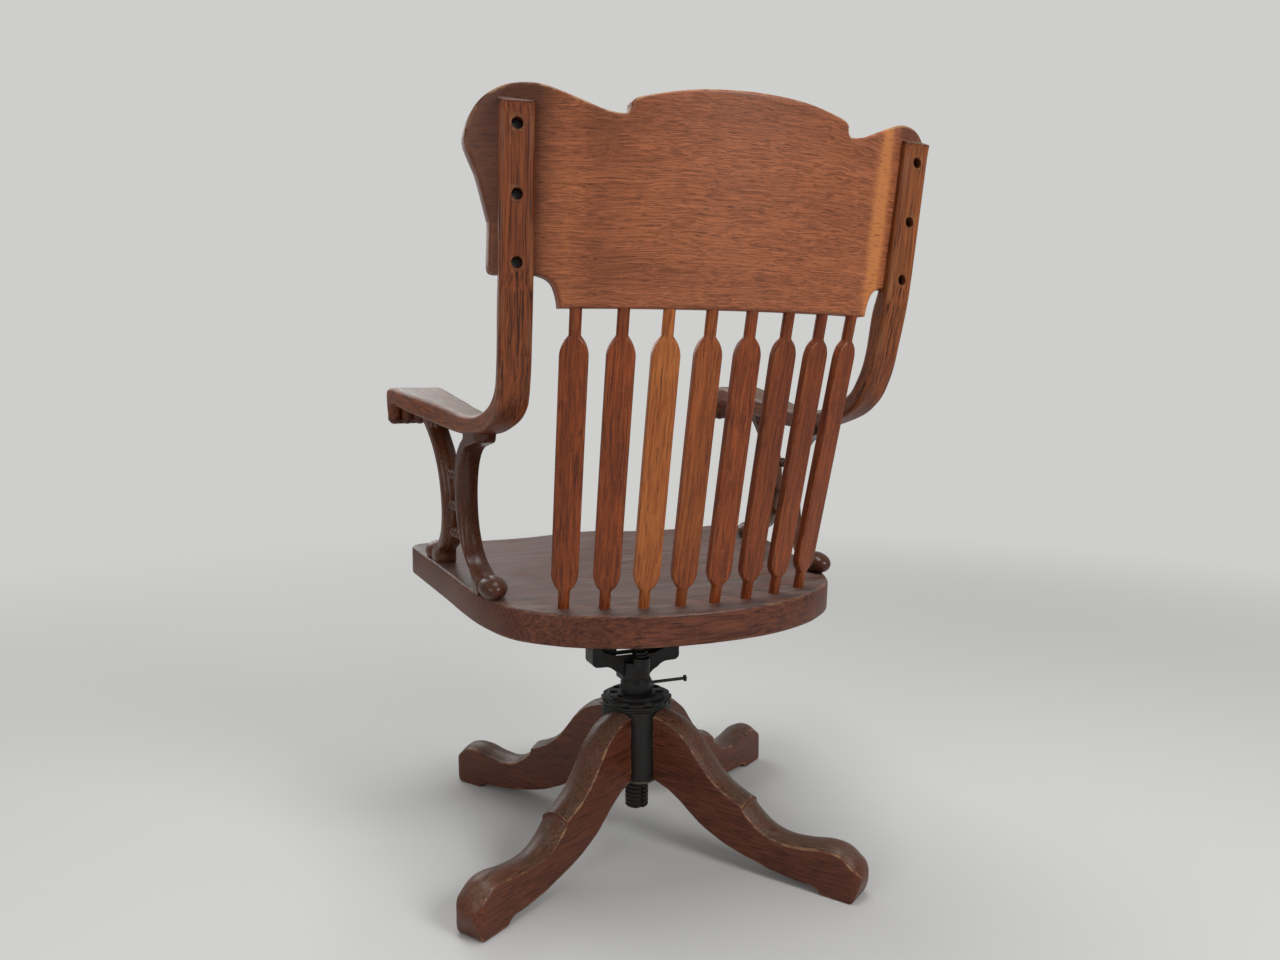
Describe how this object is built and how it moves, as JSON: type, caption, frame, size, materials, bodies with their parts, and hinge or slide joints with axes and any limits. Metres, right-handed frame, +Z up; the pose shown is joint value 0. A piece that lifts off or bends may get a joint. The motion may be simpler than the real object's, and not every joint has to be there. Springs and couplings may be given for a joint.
{
  "type": "swivel chair",
  "caption": "Oak office armchair with a slatted back, scrolled arm supports and a tilting, height-adjustable iron swivel base.",
  "frame": {"origin": "on the floor, on the swivel axis", "axes": "+Z up along the swivel axis, -Y the way the sitter faces, +X the sitter's left"},
  "size_m": [0.657, 0.677, 0.9985],
  "materials": {
    "crest_oak": "worn varnish",
    "arm_oak": "worn varnish",
    "spindle_oak": "worn varnish",
    "seat_oak": "worn varnish",
    "scroll_oak": "satin varnish",
    "leg_oak": "worn varnish",
    "dowel_wood": "raw",
    "dark_iron": "dark aged",
    "worn_iron": "worn",
    "spring_steel": "oiled dark steel",
    "screw_steel": "aged steel",
    "black_rubber": "matte"
  },
  "bodies": {
    "base": {"hub": "dark_iron", "hub_bottom_plate": "dark_iron", "hub_plate_screws": "screw_steel", "leg_1": "leg_oak", "leg_2": "leg_oak", "leg_3": "leg_oak", "leg_4": "leg_oak", "leg_bolts": "screw_steel"},
    "carrier": {"thrust_ring": "dark_iron"},
    "wheel": {"hand_wheel": "dark_iron"},
    "lift": {"height_screw": "worn_iron", "yoke": "dark_iron", "pivot_rod": "worn_iron", "pivot_nut": "worn_iron", "stop_buffers": "black_rubber", "tilt_spring": "spring_steel"},
    "seat_body": {"seat": "seat_oak", "seat_iron": "dark_iron", "seat_iron_screws": "screw_steel", "crest_panel": "crest_oak", "crest_screws": "screw_steel", "left_arm_post": "arm_oak", "right_arm_post": "arm_oak", "left_front_support": "scroll_oak", "left_rear_support": "scroll_oak", "right_front_support": "scroll_oak", "right_rear_support": "scroll_oak", "left_support_beads": "scroll_oak", "right_support_beads": "scroll_oak", "support_foot_screws": "screw_steel", "arm_dowels": "dowel_wood", "back_spindle_1": "spindle_oak", "back_spindle_2": "spindle_oak", "back_spindle_3": "spindle_oak", "back_spindle_4": "spindle_oak", "back_spindle_5": "spindle_oak", "back_spindle_6": "spindle_oak", "back_spindle_7": "spindle_oak", "back_spindle_8": "spindle_oak"},
    "pin": {"lock_pin": "worn_iron"}
  },
  "joints": [
    {"name": "swivel", "type": "hinge", "parent": "base", "child": "carrier", "pos_m": [0, 0, 0.2], "axis": [0, 0, 1], "continuous": true},
    {"name": "seat_height", "type": "slide", "parent": "carrier", "child": "lift", "axis": [0, 0, 1], "range_m": [0, 0.09]},
    {"name": "wheel_turn", "type": "hinge", "parent": "carrier", "child": "wheel", "pos_m": [0, 0, 0.212], "axis": [0, 0, 1], "range_deg": [-5103, 0]},
    {"name": "seat_tilt", "type": "hinge", "parent": "lift", "child": "seat_body", "pos_m": [0, -0.015, 0.345], "axis": [-1, 0, 0], "range_deg": [0, 15], "stiffness_Nm_per_rad": 60, "springref_deg": -17.19, "deforming": ["tilt_spring"]},
    {"name": "lock_pin_pull", "type": "slide", "parent": "lift", "child": "pin", "axis": [-1, 0, 0], "range_m": [0, 0.04]}
  ],
  "couplings": [
    {"joint": "wheel_turn", "follows": "seat_height", "rad_per_m": -989.48}
  ]
}
